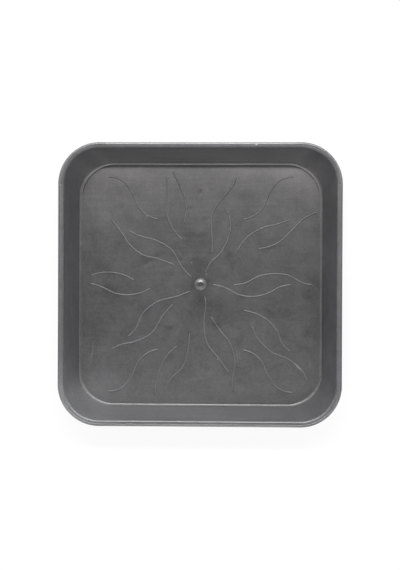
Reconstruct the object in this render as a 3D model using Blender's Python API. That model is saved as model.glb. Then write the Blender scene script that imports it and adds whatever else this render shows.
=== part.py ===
"""Square plant saucer, a one-piece moulded tray that catches the water under a plant pot.

Metres, +Z up. The origin is the middle of the footprint, on the surface that the saucer stands on.
The tray is one watertight skin: floor, flared wall, rolled rim and foot. The wavy ribs and the gate
boss that stand up from its floor are solids of their own, seated on it.
"""

import math

import bmesh
import bpy
import numpy as np

# Overall sizes
OUTER_SIZE = 0.300
TOTAL_HEIGHT = 0.038
RIM_CORNER_RADIUS = 0.044
FLOOR_CORNER_RADIUS = 0.0376

# Wall and floor
WALL_DRAFT = math.radians(20.0)
WALL_THICKNESS = 0.0020
FLOOR_THICKNESS = 0.0022
WALL_FOOT_FILLET = 0.0032

# Foot that the saucer stands on, with the floor panel raised inside it
FOOT_WIDTH = 0.0055
FOOT_EDGE_RADIUS = 0.0012
PANEL_RECESS = 0.0008
PANEL_CHAMFER = 0.0006

# Rolled rim: a level shelf, then a bead whose top slopes down to the outside
RIM_WIDTH = 0.0057
RIM_THICKNESS = 0.0018
RIM_LIP_RADIUS = 0.0023
BEAD_WIDTH = 0.0026
BEAD_RISE = 0.0005
BEAD_CROWN_WIDTH = 0.0007
BEAD_FALL = 0.0004
BEAD_INNER_RADIUS = 0.0007
BEAD_CROWN_RADIUS = 0.0020
BEAD_OUTER_RADIUS = 0.0010
SKIRT_DEPTH = 0.0060
SKIRT_THICKNESS = 0.0016
SKIRT_EDGE_RADIUS = 0.0005
UNDER_RIM_FILLET = 0.0008

# Gate boss at the middle of the floor, and the recess for the gate mark under it
BOSS_DIAMETER = 0.0130
BOSS_DOME_RADIUS = 0.0145
BOSS_EDGE_HEIGHT = 0.0001
PIT_DIAMETER = 0.0047
PIT_DEPTH = 0.0007
NUB_DIAMETER = 0.0015
NUB_HEIGHT = 0.0004
GATE_RECESS_DIAMETER = 0.0100
GATE_RECESS_DEPTH = 0.0006

# Floor ribs
RIB_HEIGHT = 0.0010
RIB_BASE_WIDTH = 0.0016
RIB_TOP_WIDTH = 0.0008
RIB_END_TAPER = 0.0015
RIB_END_WIDTH_SHARE = 0.5
RIB_END_HEIGHT_SHARE = 0.6
RIB_STATION_SPACING = 0.0055

# What rests on the floor keeps this gap to it
SEAT_GAP = 0.0003

# Facets
CORNER_STEPS = 12
ARC_STEPS = 3
BOSS_STEPS = 6

# The rib pattern is drawn on a grid that reaches this many units from the middle to the wall's foot
PATTERN_UNITS = 131.7

# One corner rib, which is mirrored into the other three corners
CORNER_RIB = [(-101, 117), (-87, 114), (-75, 100), (-66, 82), (-56, 74), (-45, 71)]

# The other ribs, in pairs that fan out from the middle: +X right, +Y to the back
RIB_ROUTES = {
    "rib_back_left_outer": [(-31, 123), (-23, 108), (-17, 93), (-16, 79), (-19, 66)],
    "rib_back_left_inner": [(-37, 117), (-37, 99), (-38, 82), (-32, 64), (-19, 48)],
    "rib_back_right_outer": [(39, 117), (33, 105), (21, 91), (12, 75), (12, 58), (13, 44), (12, 33)],
    "rib_back_right_inner": [(26, 83), (32, 71), (31, 54), (22, 35), (11, 24), (5, 12)],
    "rib_right_back_outer": [(127, 79), (112, 72), (99, 59), (83, 45), (61, 39)],
    "rib_right_back_inner": [(99, 72), (87, 67), (68, 62), (51, 52), (40, 36)],
    "rib_right_outer": [(123, 0), (112, 2), (93, 11), (80, 12), (66, 10), (46, 1), (35, 0)],
    "rib_right_inner": [(100, 0), (87, -2), (74, -9), (57, -13), (42, -11), (26, -3), (12, 0)],
    "rib_right_front_outer": [(117, -106), (112, -95), (94, -80), (79, -74), (63, -59), (56, -44)],
    "rib_right_front_inner": [(99, -73), (91, -66), (84, -51), (75, -40), (64, -33), (46, -28)],
    "rib_front_right_outer": [(36, -117), (36, -101), (38, -83), (32, -63), (23, -52), (11, -34)],
    "rib_front_right_inner": [(31, -96), (19, -79), (8, -65), (5, -54), (4, -37), (6, -21), (4, -12)],
    "rib_front_left_inner": [(-39, -116), (-34, -106), (-18, -88), (-13, -69), (-12, -52)],
    "rib_front_left_outer": [(-49, -122), (-45, -96), (-38, -80), (-25, -67)],
    "rib_left_front_outer": [(-98, -72), (-87, -66), (-73, -63), (-53, -53), (-41, -34), (-29, -21)],
    "rib_left_front_inner": [(-80, -58), (-71, -49), (-63, -32), (-47, -19), (-26, -13), (-10, -7)],
    "rib_left_inner": [(-122, 1), (-108, -3), (-93, -10), (-72, -11), (-54, -4)],
    "rib_left_outer": [(-121, 9), (-103, 13), (-87, 11), (-72, 4)],
    "rib_left_back_outer": [(-98, 71), (-88, 59), (-78, 44), (-65, 33), (-47, 28), (-28, 21)],
    "rib_left_back_inner": [(-79, 59), (-67, 53), (-49, 48), (-30, 36), (-21, 20), (-9, 7)],
}

# Heights and half widths that follow from the sizes above
OUTER_HALF = OUTER_SIZE / 2
FLOOR_TOP = PANEL_RECESS + FLOOR_THICKNESS
LIP_TOP = TOTAL_HEIGHT - BEAD_RISE
UNDER_RIM = LIP_TOP - RIM_THICKNESS
RIM_INNER_HALF = OUTER_HALF - RIM_WIDTH
WALL_FOOT_HALF = RIM_INNER_HALF - (LIP_TOP - FLOOR_TOP) * math.tan(WALL_DRAFT)
WALL_THICKNESS_ACROSS = WALL_THICKNESS / math.cos(WALL_DRAFT)


def clear_scene():
    """Remove the objects that the file opened with."""
    for obj in list(bpy.data.objects):
        bpy.data.objects.remove(obj, do_unlink=True)


def plastic(name, colour, roughness):
    """Give a dark moulded plastic its own Principled material."""
    material = bpy.data.materials.new(name)
    material.use_nodes = True
    shader = material.node_tree.nodes["Principled BSDF"]
    shader.inputs["Base Color"].default_value = (*colour, 1.0)
    shader.inputs["Roughness"].default_value = roughness
    shader.inputs["Metallic"].default_value = 0.0
    return material


def add_object(name, bm, material):
    """Turn a bmesh into a named, smooth-shaded object."""
    bmesh.ops.recalc_face_normals(bm, faces=bm.faces)
    mesh = bpy.data.meshes.new(name)
    bm.to_mesh(mesh)
    bm.free()
    mesh.materials.append(material)
    mesh.shade_smooth()
    mesh.set_sharp_from_angle(angle=math.radians(35.0))
    obj = bpy.data.objects.new(name, mesh)
    bpy.context.scene.collection.objects.link(obj)
    return obj


def rounded_square(half, corner_radius, z):
    """Points of a square with round corners, anticlockwise. It is a circle where the two are equal."""
    points = []
    centre = half - corner_radius
    for quarter, (side_x, side_y) in enumerate(((1, 1), (-1, 1), (-1, -1), (1, -1))):
        for step in range(CORNER_STEPS + 1):
            angle = (quarter + step / CORNER_STEPS) * math.pi / 2
            x = side_x * centre + corner_radius * math.cos(angle)
            y = side_y * centre + corner_radius * math.sin(angle)
            points.append((x, y, z))
    return points


def circle(radius, z, count):
    """Points of a circle, anticlockwise."""
    angles = [2 * math.pi * step / count for step in range(count)]
    return [(radius * math.cos(angle), radius * math.sin(angle), z) for angle in angles]


def skin_rings(rings):
    """Join equal rings of points by bands of quads, and cap the first and the last."""
    bm = bmesh.new()
    loops = [[bm.verts.new(point) for point in ring] for ring in rings]
    for loop, following in zip(loops, loops[1:]):
        for index in range(len(loop)):
            after = (index + 1) % len(loop)
            bm.faces.new((loop[index], loop[after], following[after], following[index]))
    bm.faces.new(loops[0])
    bm.faces.new(loops[-1])
    return bm


def round_corners(corners):
    """Replace each inner corner (x, z, radius) by an arc tangent to its two legs."""
    points = [corners[0][:2]]
    for before, corner, after in zip(corners, corners[1:], corners[2:]):
        spot = np.array(corner[:2])
        radius = corner[2]
        if radius == 0.0:
            points.append(corner[:2])
            continue
        back = np.array(before[:2]) - spot
        back = back / np.linalg.norm(back)
        ahead = np.array(after[:2]) - spot
        ahead = ahead / np.linalg.norm(ahead)
        half_angle = math.acos(float(np.dot(back, ahead))) / 2
        middle = (back + ahead) / np.linalg.norm(back + ahead)
        centre = spot + middle * radius / math.sin(half_angle)
        start = spot + back * radius / math.tan(half_angle) - centre
        end = spot + ahead * radius / math.tan(half_angle) - centre
        turn = math.pi - 2 * half_angle
        for step in range(ARC_STEPS + 1):
            share = step / ARC_STEPS
            from_start = math.sin((1 - share) * turn) / math.sin(turn)
            from_end = math.sin(share * turn) / math.sin(turn)
            points.append(tuple(centre + start * from_start + end * from_end))
    points.append(corners[-1][:2])
    return points


def inner_corner_radius(half):
    """Corner radius of the inner skin at a distance from the middle.

    It keeps to the rim's corner outside the wall and to the floor's corner inside it, and changes
    evenly between the two up the wall.
    """
    rim_radius = RIM_CORNER_RADIUS - RIM_WIDTH
    if half >= RIM_INNER_HALF:
        return RIM_CORNER_RADIUS - (OUTER_HALF - half)
    if half <= WALL_FOOT_HALF:
        return FLOOR_CORNER_RADIUS - (WALL_FOOT_HALF - half)
    share = (half - WALL_FOOT_HALF) / (RIM_INNER_HALF - WALL_FOOT_HALF)
    return FLOOR_CORNER_RADIUS + share * (rim_radius - FLOOR_CORNER_RADIUS)


def outer_corner_radius(half):
    """Corner radius of the outer skin, one wall thickness outside the inner one."""
    return inner_corner_radius(half - WALL_THICKNESS_ACROSS) + WALL_THICKNESS_ACROSS


def outer_wall_half(z):
    """Distance of the wall's outer face from the middle at a height."""
    return RIM_INNER_HALF - (LIP_TOP - z) * math.tan(WALL_DRAFT) + WALL_THICKNESS_ACROSS


def make_tray():
    """The watertight skin, as rings that run from the floor over the rim and back under the floor."""
    bead_inner = OUTER_HALF - BEAD_WIDTH
    skirt_inner = OUTER_HALF - SKIRT_THICKNESS
    skirt_bottom = TOTAL_HEIGHT - SKIRT_DEPTH
    foot_outer = outer_wall_half(0.0)
    foot_inner = foot_outer - FOOT_WIDTH
    inner_skin = round_corners([
        (WALL_FOOT_HALF - 2 * WALL_FOOT_FILLET, FLOOR_TOP, 0.0),
        (WALL_FOOT_HALF, FLOOR_TOP, WALL_FOOT_FILLET),
        (RIM_INNER_HALF, LIP_TOP, RIM_LIP_RADIUS),
        (bead_inner, LIP_TOP, 0.0),
        (bead_inner + BEAD_RISE, TOTAL_HEIGHT, BEAD_INNER_RADIUS),
        (bead_inner + BEAD_RISE + BEAD_CROWN_WIDTH, TOTAL_HEIGHT, BEAD_CROWN_RADIUS),
        (OUTER_HALF, TOTAL_HEIGHT - BEAD_FALL, BEAD_OUTER_RADIUS),
        (OUTER_HALF, (TOTAL_HEIGHT + skirt_bottom) / 2, 0.0),
    ])
    outer_skin = round_corners([
        (OUTER_HALF, (TOTAL_HEIGHT + skirt_bottom) / 2, 0.0),
        (OUTER_HALF, skirt_bottom, SKIRT_EDGE_RADIUS),
        (skirt_inner, skirt_bottom, SKIRT_EDGE_RADIUS),
        (skirt_inner, UNDER_RIM, UNDER_RIM_FILLET),
        (outer_wall_half(UNDER_RIM), UNDER_RIM, 0.0),
        (foot_outer, 0.0, FOOT_EDGE_RADIUS),
        (foot_inner, 0.0, 0.0),
        (foot_inner - PANEL_CHAMFER, PANEL_RECESS, 0.0),
    ])
    rings = [rounded_square(x, inner_corner_radius(x), z) for x, z in inner_skin]
    rings += [rounded_square(x, outer_corner_radius(x), z) for x, z in outer_skin[1:]]
    recess = GATE_RECESS_DIAMETER / 2
    rings.append(rounded_square(recess, recess, PANEL_RECESS))
    rings.append(rounded_square(recess, recess, PANEL_RECESS + GATE_RECESS_DEPTH))
    return add_object("tray", skin_rings(rings), plastic("tray_plastic", (0.085, 0.085, 0.088), 0.45))


def dome_height(radius):
    """Height of the boss's dome over its edge, on a ball, at a distance from its middle."""
    edge = BOSS_DIAMETER / 2
    return math.sqrt(BOSS_DOME_RADIUS**2 - radius**2) - math.sqrt(BOSS_DOME_RADIUS**2 - edge**2)


def make_gate_boss():
    """A low dome on the middle of the floor, with a pit at its top and a nub in the pit."""
    seat = FLOOR_TOP + SEAT_GAP
    boss_radius = BOSS_DIAMETER / 2
    pit_radius = PIT_DIAMETER / 2
    nub_radius = NUB_DIAMETER / 2
    lowest = seat + BOSS_EDGE_HEIGHT
    pit_bottom = FLOOR_TOP + dome_height(pit_radius) - PIT_DEPTH
    profile = [(boss_radius, seat), (boss_radius, lowest)]
    for step in range(1, BOSS_STEPS + 1):
        radius = boss_radius + step / BOSS_STEPS * (pit_radius - boss_radius)
        profile.append((radius, max(lowest, FLOOR_TOP + dome_height(radius))))
    profile.append((pit_radius - PIT_DEPTH / 2, pit_bottom))
    profile.append((nub_radius, pit_bottom))
    profile.append((nub_radius / 2, pit_bottom + NUB_HEIGHT))
    rings = [circle(radius, z, 4 * BOSS_STEPS) for radius, z in profile]
    return add_object("gate_boss", skin_rings(rings), plastic("boss_plastic", (0.09, 0.09, 0.092), 0.4))


def smooth_route(points, stations):
    """Positions and unit tangents along a smooth curve through the points.

    The curve is a cubic between each two points, with slopes taken from their neighbours.
    """
    points = np.array(points, dtype=float)
    lengths = np.linalg.norm(np.diff(points, axis=0), axis=1)
    along = np.concatenate(([0.0], np.cumsum(lengths)))
    slopes = np.gradient(points, along, axis=0, edge_order=2)
    places = stations * along[-1]
    piece = np.clip(np.searchsorted(along, places, side="right") - 1, 0, len(lengths) - 1)
    span = lengths[piece][:, None]
    t = (places - along[piece])[:, None] / span
    start, end = points[piece], points[piece + 1]
    start_slope, end_slope = slopes[piece] * span, slopes[piece + 1] * span
    spots = (2 * t**3 - 3 * t**2 + 1) * start + (t**3 - 2 * t**2 + t) * start_slope
    spots = spots + (3 * t**2 - 2 * t**3) * end + (t**3 - t**2) * end_slope
    tangents = (6 * t**2 - 6 * t) * start + (3 * t**2 - 4 * t + 1) * start_slope
    tangents = tangents + (6 * t - 6 * t**2) * end + (3 * t**2 - 2 * t) * end_slope
    return spots, tangents / np.linalg.norm(tangents, axis=1)[:, None]


def make_rib(name, route):
    """A low rib with sloping flanks and a flat top, swept along its route and tapered at both ends."""
    unit = WALL_FOOT_HALF / PATTERN_UNITS
    route = [(x * unit, y * unit) for x, y in route]
    length = sum(math.dist(a, b) for a, b in zip(route, route[1:]))
    taper = RIB_END_TAPER / length
    count = max(4, round(length / RIB_STATION_SPACING))
    stations = np.concatenate(([0.0], np.linspace(taper, 1 - taper, count), [1.0]))
    spots, tangents = smooth_route(route, stations)
    seat = FLOOR_TOP + SEAT_GAP
    rings = []
    for index, (spot, tangent) in enumerate(zip(spots, tangents)):
        at_end = index in (0, len(spots) - 1)
        width_share = RIB_END_WIDTH_SHARE if at_end else 1.0
        height_share = RIB_END_HEIGHT_SHARE if at_end else 1.0
        across = np.array((-tangent[1], tangent[0]))
        top = FLOOR_TOP + RIB_HEIGHT * height_share
        ring = []
        for side, width, z in ((1, RIB_BASE_WIDTH, seat), (1, RIB_TOP_WIDTH, top),
                               (-1, RIB_TOP_WIDTH, top), (-1, RIB_BASE_WIDTH, seat)):
            x, y = spot + across * side * width * width_share / 2
            ring.append((x, y, z))
        rings.append(ring)
    return add_object(name, skin_rings(rings), plastic(name + "_plastic", (0.09, 0.09, 0.092), 0.45))


def make_ribs():
    """The corner rib and its three mirror images, then every other rib."""
    for depth, sign_y in (("back", 1), ("front", -1)):
        for side, sign_x in (("left", 1), ("right", -1)):
            route = [(sign_x * x, sign_y * y) for x, y in CORNER_RIB]
            make_rib(f"rib_corner_{depth}_{side}", route)
    for name, route in RIB_ROUTES.items():
        make_rib(name, route)


def main():
    clear_scene()
    make_tray()
    make_gate_boss()
    make_ribs()


main()
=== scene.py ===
"""Looks of the square plant saucer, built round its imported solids.

The saucer is one dark plastic moulding: a tray with a rolled rim, a gate boss at the middle of its
floor, and wavy floor ribs that keep the pot out of the water. Metres, +Z up. The file is laid out as
an add-on and run as a script: each kind of piece has its own operator, and the sizes and colours that
a user would change are properties.
"""

import math

import bpy
import numpy as np
from bpy.props import FloatProperty, FloatVectorProperty, IntProperty, PointerProperty
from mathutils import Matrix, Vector


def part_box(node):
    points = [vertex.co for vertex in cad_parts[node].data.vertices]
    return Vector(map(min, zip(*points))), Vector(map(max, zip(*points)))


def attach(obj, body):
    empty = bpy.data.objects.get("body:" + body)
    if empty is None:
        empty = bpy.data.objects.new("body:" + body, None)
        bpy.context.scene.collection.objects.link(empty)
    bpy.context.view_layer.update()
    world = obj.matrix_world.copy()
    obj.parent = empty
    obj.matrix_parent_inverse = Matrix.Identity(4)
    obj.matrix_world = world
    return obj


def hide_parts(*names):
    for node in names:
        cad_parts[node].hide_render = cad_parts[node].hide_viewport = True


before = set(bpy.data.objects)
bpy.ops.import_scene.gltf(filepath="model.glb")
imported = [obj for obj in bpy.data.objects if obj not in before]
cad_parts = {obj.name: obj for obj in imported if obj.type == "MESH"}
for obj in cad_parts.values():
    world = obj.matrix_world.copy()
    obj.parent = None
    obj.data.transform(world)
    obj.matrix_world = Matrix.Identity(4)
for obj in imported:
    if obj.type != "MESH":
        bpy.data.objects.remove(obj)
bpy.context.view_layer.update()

bl_info = {
    "name": "Square Plant Saucer",
    "version": (1, 0, 0),
    "blender": (4, 5, 0),
    "location": "3D View > Sidebar > Saucer",
    "description": "Builds the looks of a moulded square plant saucer round its packed solids",
    "category": "Add Mesh",
}

BODY = "root"
SKIN = "moulded_skin"

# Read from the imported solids
TRAY_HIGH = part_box("tray")[1]
BOSS_LOW, BOSS_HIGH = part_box("gate_boss")
RIB_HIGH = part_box("rib_right_inner")[1]
SEAT_GAP = 0.0003
OUTER_HALF = TRAY_HIGH.x
TOTAL_HEIGHT = TRAY_HIGH.z
FLOOR_TOP = BOSS_LOW.z - SEAT_GAP
RIB_HEIGHT = RIB_HIGH.z - FLOOR_TOP
BOSS_DIAMETER = BOSS_HIGH.x - BOSS_LOW.x

# The shelf of the rim lies this much under the bead's crown
SHELF_TOP = TOTAL_HEIGHT - 0.0005

# Half widths in millimetres of the squares on which the corners' centres lie, at floor and rim
FLOOR_CORNER_CENTRE = 94.1
RIM_CORNER_CENTRE = 106.0

# The rib pattern is drawn on a grid that reaches this many units from the middle to the wall's foot
PATTERN_UNITS = 131.7

# One corner rib, which is mirrored into the other three corners
CORNER_RIB = [(-101, 117), (-87, 114), (-75, 100), (-66, 82), (-56, 74), (-45, 71)]

# The other ribs, in pairs that fan out from the middle: +X right, +Y to the back
RIB_ROUTES = {
    "rib_back_left_outer": [(-31, 123), (-23, 108), (-17, 93), (-16, 79), (-19, 66)],
    "rib_back_left_inner": [(-37, 117), (-37, 99), (-38, 82), (-32, 64), (-19, 48)],
    "rib_back_right_outer": [(39, 117), (33, 105), (21, 91), (12, 75), (12, 58), (13, 44), (12, 33)],
    "rib_back_right_inner": [(26, 83), (32, 71), (31, 54), (22, 35), (11, 24), (5, 12)],
    "rib_right_back_outer": [(127, 79), (112, 72), (99, 59), (83, 45), (61, 39)],
    "rib_right_back_inner": [(99, 72), (87, 67), (68, 62), (51, 52), (40, 36)],
    "rib_right_outer": [(123, 0), (112, 2), (93, 11), (80, 12), (66, 10), (46, 1), (35, 0)],
    "rib_right_inner": [(100, 0), (87, -2), (74, -9), (57, -13), (42, -11), (26, -3), (12, 0)],
    "rib_right_front_outer": [(117, -106), (112, -95), (94, -80), (79, -74), (63, -59), (56, -44)],
    "rib_right_front_inner": [(99, -73), (91, -66), (84, -51), (75, -40), (64, -33), (46, -28)],
    "rib_front_right_outer": [(36, -117), (36, -101), (38, -83), (32, -63), (23, -52), (11, -34)],
    "rib_front_right_inner": [(31, -96), (19, -79), (8, -65), (5, -54), (4, -37), (6, -21), (4, -12)],
    "rib_front_left_inner": [(-39, -116), (-34, -106), (-18, -88), (-13, -69), (-12, -52)],
    "rib_front_left_outer": [(-49, -122), (-45, -96), (-38, -80), (-25, -67)],
    "rib_left_front_outer": [(-98, -72), (-87, -66), (-73, -63), (-53, -53), (-41, -34), (-29, -21)],
    "rib_left_front_inner": [(-80, -58), (-71, -49), (-63, -32), (-47, -19), (-26, -13), (-10, -7)],
    "rib_left_inner": [(-122, 1), (-108, -3), (-93, -10), (-72, -11), (-54, -4)],
    "rib_left_outer": [(-121, 9), (-103, 13), (-87, 11), (-72, 4)],
    "rib_left_back_outer": [(-98, 71), (-88, 59), (-78, 44), (-65, 33), (-47, 28), (-28, 21)],
    "rib_left_back_inner": [(-79, 59), (-67, 53), (-49, 48), (-30, 36), (-21, 20), (-9, 7)],
}


def length(name, default, description):
    """A size in metres."""
    return FloatProperty(
        name=name, description=description, default=default, min=0.0, precision=5, unit="LENGTH")


def share(name, default, description):
    """A number from 0 to 1."""
    return FloatProperty(
        name=name, description=description, default=default, min=0.0, max=1.0, subtype="FACTOR")


def count(name, default, description):
    """A whole number of steps."""
    return IntProperty(name=name, description=description, default=default, min=1)


def colour(name, default, description):
    """A linear colour."""
    return FloatVectorProperty(
        name=name, description=description, default=default, min=0.0, max=1.0, subtype="COLOR")


class SaucerTraySizes(bpy.types.PropertyGroup):
    """Section of the tray's skin, from its floor over the rim to its foot."""

    rim_corner_radius: length(
        "Rim corner radius", 0.044, "Outside corner radius of the rim, from above")
    floor_corner_radius: length(
        "Floor corner radius", 0.0376, "Corner radius where the wall meets the floor")
    wall_draft: FloatProperty(
        name="Wall draft", description="Lean of the wall away from upright",
        default=math.radians(20.0), min=0.0, max=math.radians(45.0), subtype="ANGLE", unit="ROTATION")
    wall_thickness: length("Wall thickness", 0.0020, "Thickness of the wall, square to its face")
    wall_foot_fillet: length("Wall foot fillet", 0.0032, "Radius between the floor and the wall")
    rim_width: length(
        "Rim width", 0.0057, "From the outside of the rim to where shelf and wall would meet")
    rim_thickness: length("Rim thickness", 0.0018, "Thickness of the rim's shelf")
    rim_lip_radius: length("Lip radius", 0.0023, "Radius between the shelf and the wall")
    bead_width: length(
        "Bead width", 0.0026, "Width of the raised bead along the outside of the rim")
    bead_rise: length("Bead rise", 0.0005, "Height of the bead over the shelf")
    bead_crown_width: length("Bead crown width", 0.0007, "Width of the bead's level crown")
    bead_fall: length("Bead fall", 0.0004, "Drop of the bead's top towards the outside")
    bead_inner_radius: length("Bead inner radius", 0.0007, "Radius at the inner edge of the crown")
    bead_crown_radius: length("Bead crown radius", 0.0020, "Radius at the outer edge of the crown")
    bead_outer_radius: length("Bead outer radius", 0.0010, "Radius at the outside of the rim")
    skirt_depth: length("Skirt depth", 0.0060, "Height of the skirt that turns down from the rim")
    skirt_thickness: length("Skirt thickness", 0.0016, "Thickness of the skirt")
    skirt_edge_radius: length("Skirt edge radius", 0.0005, "Radius along the skirt's lower edges")
    under_rim_fillet: length(
        "Under-rim fillet", 0.0008, "Radius between the skirt and the shelf's underside")
    foot_width: length("Foot width", 0.0055, "Width of the foot that the saucer stands on")
    foot_edge_radius: length("Foot edge radius", 0.0012, "Radius at the outside of the foot")
    panel_recess: length(
        "Panel recess", 0.0008, "Height of the floor panel's underside over the foot")
    panel_chamfer: length("Panel chamfer", 0.0006, "Run of the slope from the foot up to the panel")
    gate_recess_diameter: length(
        "Gate recess diameter", 0.0100, "Width of the round recess under the boss")
    gate_recess_depth: length(
        "Gate recess depth", 0.0006, "Depth of the round recess under the boss")
    crease_radius: length(
        "Crease radius", 0.00025, "Radius along the edges that the mould leaves sharp")
    side_bow: length(
        "Side bow", 0.00015, "How far shrinkage draws in the middle of each side at the rim")
    floor_wave: length("Floor wave", 0.00006, "Height of the soft waves in the floor")
    sink_depth: length("Sink depth", 0.00005, "Depth of the sink line over the foot's inner edge")
    sink_width: length("Sink width", 0.0009, "Half width of that sink line")
    corner_steps: count("Corner steps", 26, "Facets along each corner")
    side_steps: count("Side steps", 56, "Facets along each straight side")
    arc_steps: count("Arc steps", 7, "Facets along each radius of the section")
    floor_rings: count(
        "Floor rings", 54, "Rings of facets from the middle of the floor to the wall")


class SaucerBossSizes(bpy.types.PropertyGroup):
    """The gate boss at the middle of the floor."""

    diameter: length("Diameter", BOSS_DIAMETER, "Width of the dome where it meets the floor")
    dome_radius: length("Dome radius", 0.0145, "Radius of the ball that the dome is cut from")
    edge_fillet: length("Edge fillet", 0.0004, "Radius between the dome and the floor")
    pit_diameter: length("Pit diameter", 0.0047, "Width of the pit in the dome's top")
    pit_depth: length("Pit depth", 0.0007, "Depth of the pit under its rim")
    pit_edge_radius: length("Pit edge radius", 0.00025, "Radius along the rim of the pit")
    nub_diameter: length("Nub diameter", 0.0015, "Width of the gate nub in the pit")
    nub_height: length("Nub height", 0.0004, "Height of the gate nub over the pit's bottom")
    turn_steps: count("Turn steps", 96, "Facets round the boss")
    arc_steps: count("Arc steps", 10, "Facets along each radius of the section")


class SaucerRibSizes(bpy.types.PropertyGroup):
    """The wavy ribs on the floor."""

    height: length("Height", RIB_HEIGHT, "Height of the ribs over the floor")
    width: length("Width", 0.0015, "Width of the ridge, without its fillets")
    foot_fillet: length("Foot fillet", 0.00025, "Width of the fillet along each side")
    end_taper: length("End taper", 0.0030, "Length over which each end runs out")
    sunk: length("Sunk", 0.00003, "How far the feathered foot goes under the floor's surface")
    station_spacing: length("Station spacing", 0.0009, "Distance between sections along a rib")
    crown_steps: count("Crown steps", 18, "Facets over the ridge")
    fillet_steps: count("Fillet steps", 4, "Facets of each fillet")


class SaucerFinish(bpy.types.PropertyGroup):
    """Colour and gloss of the plastic and of the marks on it."""

    plastic: colour(
        "Plastic", (0.0680, 0.0648, 0.0657), "Colour of the plastic on the floor, warm with dust")
    clean_plastic: colour(
        "Clean plastic", (0.0575, 0.0577, 0.0608), "Colour of the clean plastic of wall and rim")
    roughness: share("Roughness", 0.32, "Roughness of the clean plastic")
    # Strength of the marks, and of the patches of painted highlight and shade among them
    marks_and_shade_level: FloatProperty(
        name="Wear", description="Strength of the marks on the floor", default=1.8, min=0.0)
    sheen_level: share(
        "Reflection", 1.00, "How strongly the skin mirrors light, 0.5 for plain plastic")


class SaucerStage(bpy.types.PropertyGroup):
    """Camera, lamps and floor of the studio."""

    camera_place: FloatVectorProperty(
        name="Camera place", description="Where the camera stands, over the middle of the saucer",
        default=(0.02652, 0.00519, 1.05), subtype="TRANSLATION", unit="LENGTH")
    camera_turn: FloatVectorProperty(
        name="Camera turn", description="Turn of the camera from looking straight down",
        default=tuple(math.radians(angle) for angle in (-0.311, 1.479, 0.226)), subtype="EULER")
    camera_lens: FloatProperty(
        name="Camera lens", description="Focal length on a sensor 36 mm long",
        default=60.74, min=1.0, unit="CAMERA")
    lamp_level: FloatProperty(
        name="Lamp level", description="Brightness of all lamps together", default=1.0, min=0.0)
    room_level: FloatProperty(
        name="Room level", description="Brightness of the glow round the horizon", default=1.0, min=0.0)


class TrayForm:
    """Heights and half widths that follow from the tray's sizes."""

    def __init__(self, sizes):
        self.sizes = sizes
        self.lip_top = TOTAL_HEIGHT - sizes.bead_rise
        self.under_rim = self.lip_top - sizes.rim_thickness
        self.rim_inner_half = OUTER_HALF - sizes.rim_width
        self.lean = math.tan(sizes.wall_draft)
        self.wall_foot_half = self.rim_inner_half - (self.lip_top - FLOOR_TOP) * self.lean
        self.across = sizes.wall_thickness / math.cos(sizes.wall_draft)
        self.foot_outer = self.outer_wall_half(0.0)
        self.foot_inner = self.foot_outer - sizes.foot_width
        self.level_half = self.wall_foot_half - 2 * sizes.wall_foot_fillet

    def outer_wall_half(self, z):
        """Distance of the wall's outer face from the middle at a height."""
        return self.rim_inner_half - (self.lip_top - z) * self.lean + self.across

    def corner_radius(self, half):
        """Corner radius of the inner skin, linear from the middle to floor edge, wall and rim."""
        sizes = self.sizes
        edge_radius = sizes.floor_corner_radius - (self.wall_foot_half - self.level_half)
        halves = [0.0, self.level_half, self.wall_foot_half, self.rim_inner_half, OUTER_HALF]
        radii = [0.0, edge_radius, sizes.floor_corner_radius,
                 sizes.rim_corner_radius - sizes.rim_width, sizes.rim_corner_radius]
        return np.interp(half, halves, radii)

    def outer_corner_radius(self, half):
        """Corner radius of the outer skin: one wall thickness outside the inner skin's.

        Under the floor it falls in a straight line to that of the round recess at the gate.
        """
        recess = self.sizes.gate_recess_diameter / 2
        outside = self.corner_radius(half - self.across) + self.across
        panel_edge = self.foot_inner - self.sizes.panel_chamfer
        edge_radius = self.corner_radius(panel_edge - self.across) + self.across
        inside = np.interp(half, [0.0, recess, panel_edge], [0.0, recess, edge_radius])
        return np.where(half > panel_edge, outside, inside)


def unit(vector):
    """The vector divided by its length."""
    return vector / np.linalg.norm(vector)


def rounded_section(corners, steps):
    """Points of a section whose corners (x, z, radius) are arcs tangent to the two legs beside them.

    An arc's points are the centre plus the slerp of its two end spokes.
    """
    points = [np.array([corners[0][:2]])]
    for before, corner, after in zip(corners, corners[1:], corners[2:]):
        spot, radius = np.array(corner[:2]), corner[2]
        back, ahead = (unit(np.array(neighbour[:2]) - spot) for neighbour in (before, after))
        if radius == 0.0:
            points.append(spot[None, :])
            continue
        half_angle = math.acos(float(np.clip(back @ ahead, -1.0, 1.0))) / 2
        centre = spot + unit(back + ahead) * radius / math.sin(half_angle)
        start = spot + back * radius / math.tan(half_angle) - centre
        end = spot + ahead * radius / math.tan(half_angle) - centre
        turn = math.pi - 2 * half_angle
        along = np.linspace(0.0, 1.0, steps + 1)[:, None]
        from_start = np.sin((1 - along) * turn) / math.sin(turn)
        from_end = np.sin(along * turn) / math.sin(turn)
        points.append(centre + start * from_start + end * from_end)
    points.append(np.array([corners[-1][:2]]))
    return np.concatenate(points)


def filled_legs(points, spacing, guard):
    """The same section with points added along each long leg.

    One lies a guard's width from each end, so that the shading stays flat up to the arc, and others
    evenly between them.
    """
    parts = []
    for start, end in zip(points, points[1:]):
        parts.append(start[None, :])
        leg = float(np.linalg.norm(end - start))
        if leg > 4 * guard:
            inner = guard / leg
            stations = np.linspace(inner, 1 - inner, max(2, round(leg / spacing) + 1))[:, None]
            parts.append(start + (end - start) * stations)
    parts.append(points[-1][None, :])
    return np.concatenate(parts)


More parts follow.
